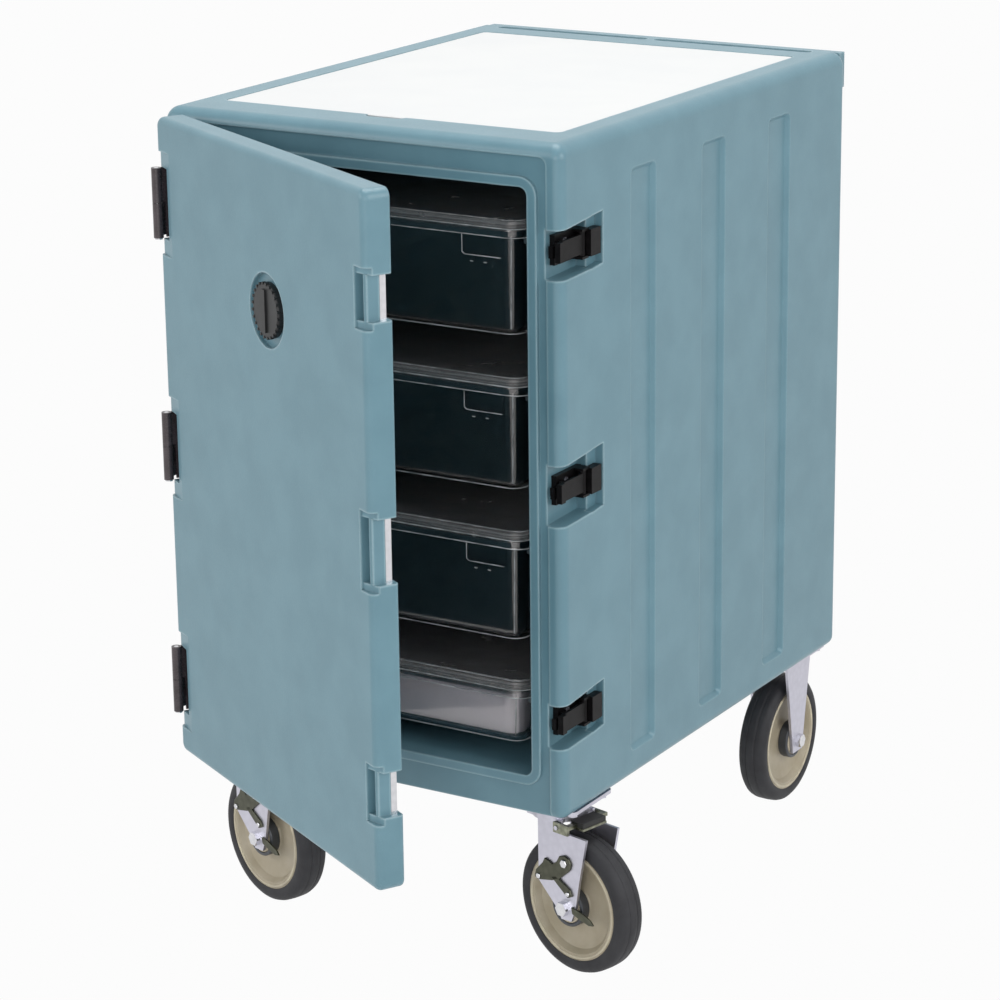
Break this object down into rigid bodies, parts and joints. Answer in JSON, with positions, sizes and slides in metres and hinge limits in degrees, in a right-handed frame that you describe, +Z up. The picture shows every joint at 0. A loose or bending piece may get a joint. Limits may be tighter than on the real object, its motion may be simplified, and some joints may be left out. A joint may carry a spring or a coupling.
{
  "type": "food storage cart",
  "caption": "Insulated food cart: side-hinged door on draw latches, clear lidded boxes on ledges, white work board, push handle, swivel casters with brakes in front, rigid casters behind.",
  "frame": {"origin": "on the floor, in the middle of the cart's outline seen from above with its door ajar", "axes": "+Z up, +X to the right of someone facing the door, -Y out of the door side"},
  "size_m": [0.6754, 1.1535, 1.114],
  "materials": {
    "body_polyethylene": "moulded slate blue, faint pebble",
    "foam": "rigid closed-cell foam",
    "white_board": "smooth white board",
    "ledge_polyethylene": "moulded slate blue, in shade",
    "clear_polycarbonate": "clear, glossy",
    "tray_white": "translucent white",
    "gasket_rubber": "soft black",
    "black_plastic": "satin black",
    "latch_nylon": "glass-filled black nylon",
    "hinge_nylon": "black-brown moulded",
    "bright_steel": "bright plated steel",
    "zinc_steel": "zinc plated",
    "wheel_core": "greige moulded core",
    "tyre_rubber": "dark grey rubber",
    "pedal_rubber": "black rubber pad on plated steel"
  },
  "bodies": {
    "cabinet": {"cabinet_shell": "body_polyethylene", "wall_insulation": "foam", "ledges_left": "ledge_polyethylene", "ledges_right": "ledge_polyethylene", "hinge_body_leaf_top": "hinge_nylon", "hinge_body_leaf_middle": "hinge_nylon", "hinge_body_leaf_bottom": "hinge_nylon", "hinge_pins": "bright_steel", "body_screws": "zinc_steel", "latch_bases": "latch_nylon", "caster_plate_front_left": "zinc_steel", "caster_plate_front_right": "zinc_steel", "caster_bracket_rear_left": "zinc_steel", "caster_bracket_rear_right": "zinc_steel", "axles_rear": "bright_steel", "caster_bolts": "zinc_steel"},
    "door": {"door_panel": "body_polyethylene", "door_insulation": "foam", "door_gasket": "gasket_rubber", "keeper_strikes": "bright_steel", "hinge_door_leaf_top": "hinge_nylon", "hinge_door_leaf_middle": "hinge_nylon", "hinge_door_leaf_bottom": "hinge_nylon", "door_screws": "zinc_steel"},
    "vent_cap": {"vent_cap": "black_plastic"},
    "work_board": {"work_board": "white_board"},
    "box_1": {"food_box_1": "clear_polycarbonate", "box_lid_1": "clear_polycarbonate"},
    "box_2": {"food_box_2": "clear_polycarbonate", "box_lid_2": "clear_polycarbonate"},
    "box_3": {"food_box_3": "clear_polycarbonate", "box_lid_3": "clear_polycarbonate"},
    "box_4": {"food_box_4": "clear_polycarbonate", "box_lid_4": "clear_polycarbonate", "drain_tray": "tray_white"},
    "lever_top": {"latch_lever_top": "latch_nylon"},
    "hook_top": {"latch_hook_top": "latch_nylon"},
    "lever_middle": {"latch_lever_middle": "latch_nylon"},
    "hook_middle": {"latch_hook_middle": "latch_nylon"},
    "lever_bottom": {"latch_lever_bottom": "latch_nylon"},
    "hook_bottom": {"latch_hook_bottom": "latch_nylon"},
    "fork_left": {"swivel_fork_left": "zinc_steel", "axle_front_left": "bright_steel"},
    "front_wheel_left": {"wheel_front_left": "wheel_core", "tyre_front_left": "tyre_rubber"},
    "rear_wheel_left": {"wheel_rear_left": "wheel_core", "tyre_rear_left": "tyre_rubber"},
    "pedal_left": {"brake_pedal_left": "pedal_rubber"},
    "fork_right": {"swivel_fork_right": "zinc_steel", "axle_front_right": "bright_steel"},
    "front_wheel_right": {"wheel_front_right": "wheel_core", "tyre_front_right": "tyre_rubber"},
    "rear_wheel_right": {"wheel_rear_right": "wheel_core", "tyre_rear_right": "tyre_rubber"},
    "pedal_right": {"brake_pedal_right": "pedal_rubber"}
  },
  "joints": [
    {"name": "door_hinge", "type": "hinge", "parent": "cabinet", "child": "door", "pos_m": [-0.31494, -0.30724, 0.671], "axis": [0, 0, -1], "range_deg": [-29, 206]},
    {"name": "vent_cap_turn", "type": "hinge", "parent": "door", "child": "vent_cap", "pos_m": [-0.03925, -0.4452, 0.916], "axis": [-0.4848, -0.8746, 0], "range_deg": [0, 90]},
    {"name": "board_lift", "type": "slide", "parent": "cabinet", "child": "work_board", "axis": [0, 0, 1], "range_m": [0, 0.15]},
    {"name": "box_slide_1", "type": "slide", "parent": "cabinet", "child": "box_1", "axis": [0, -1, 0], "range_m": [-0.059, 0.413]},
    {"name": "box_slide_2", "type": "slide", "parent": "cabinet", "child": "box_2", "axis": [0, -1, 0], "range_m": [-0.059, 0.413]},
    {"name": "box_slide_3", "type": "slide", "parent": "cabinet", "child": "box_3", "axis": [0, -1, 0], "range_m": [-0.059, 0.413]},
    {"name": "box_slide_4", "type": "slide", "parent": "cabinet", "child": "box_4", "axis": [0, -1, 0], "range_m": [-0.059, 0.413]},
    {"name": "lever_turn_top", "type": "hinge", "parent": "cabinet", "child": "lever_top", "pos_m": [0.24956, -0.19424, 0.98], "axis": [0, 0, 1], "range_deg": [0, 80]},
    {"name": "hook_turn_top", "type": "hinge", "parent": "lever_top", "child": "hook_top", "pos_m": [0.24696, -0.24024, 0.98], "axis": [0, 0, -1], "range_deg": [-1, 81]},
    {"name": "lever_turn_middle", "type": "hinge", "parent": "cabinet", "child": "lever_middle", "pos_m": [0.24956, -0.19424, 0.673], "axis": [0, 0, 1], "range_deg": [0, 80]},
    {"name": "hook_turn_middle", "type": "hinge", "parent": "lever_middle", "child": "hook_middle", "pos_m": [0.24696, -0.24024, 0.673], "axis": [0, 0, -1], "range_deg": [-1, 81]},
    {"name": "lever_turn_bottom", "type": "hinge", "parent": "cabinet", "child": "lever_bottom", "pos_m": [0.24956, -0.19424, 0.366], "axis": [0, 0, 1], "range_deg": [0, 80]},
    {"name": "hook_turn_bottom", "type": "hinge", "parent": "lever_bottom", "child": "hook_bottom", "pos_m": [0.24696, -0.24024, 0.366], "axis": [0, 0, -1], "range_deg": [-1, 81]},
    {"name": "swivel_left", "type": "hinge", "parent": "cabinet", "child": "fork_left", "pos_m": [-0.27894, -0.17824, 0.218], "axis": [0, 0, 1], "continuous": true},
    {"name": "front_spin_left", "type": "hinge", "parent": "fork_left", "child": "front_wheel_left", "pos_m": [-0.24323, -0.19124, 0.095], "axis": [0.342, 0.9397, 0], "continuous": true},
    {"name": "brake_left", "type": "hinge", "parent": "fork_left", "child": "pedal_left", "pos_m": [-0.25262, -0.18782, 0.2065], "axis": [0.342, 0.9397, 0], "range_deg": [-6, 8]},
    {"name": "swivel_right", "type": "hinge", "parent": "cabinet", "child": "fork_right", "pos_m": [0.20506, -0.17824, 0.218], "axis": [0, 0, 1], "continuous": true},
    {"name": "front_spin_right", "type": "hinge", "parent": "fork_right", "child": "front_wheel_right", "pos_m": [0.24194, -0.18744, 0.095], "axis": [0.2419, 0.9703, 0], "continuous": true},
    {"name": "brake_right", "type": "hinge", "parent": "fork_right", "child": "pedal_right", "pos_m": [0.23223, -0.18502, 0.2065], "axis": [0.2419, 0.9703, 0], "range_deg": [-6, 8]},
    {"name": "rear_spin_left", "type": "hinge", "parent": "cabinet", "child": "rear_wheel_left", "pos_m": [-0.27094, 0.48176, 0.095], "axis": [1, 0, 0], "continuous": true},
    {"name": "rear_spin_right", "type": "hinge", "parent": "cabinet", "child": "rear_wheel_right", "pos_m": [0.19706, 0.48176, 0.095], "axis": [1, 0, 0], "continuous": true}
  ],
  "couplings": [
    {"joint": "box_slide_1", "follows": "door_hinge", "m_per_rad": 0.11459},
    {"joint": "box_slide_2", "follows": "door_hinge", "m_per_rad": 0.11459},
    {"joint": "box_slide_3", "follows": "door_hinge", "m_per_rad": 0.11459},
    {"joint": "box_slide_4", "follows": "door_hinge", "m_per_rad": 0.11459},
    {"joint": "hook_turn_top", "follows": "lever_turn_top", "ratio": 1},
    {"joint": "hook_turn_middle", "follows": "lever_turn_middle", "ratio": 1},
    {"joint": "hook_turn_bottom", "follows": "lever_turn_bottom", "ratio": 1}
  ]
}
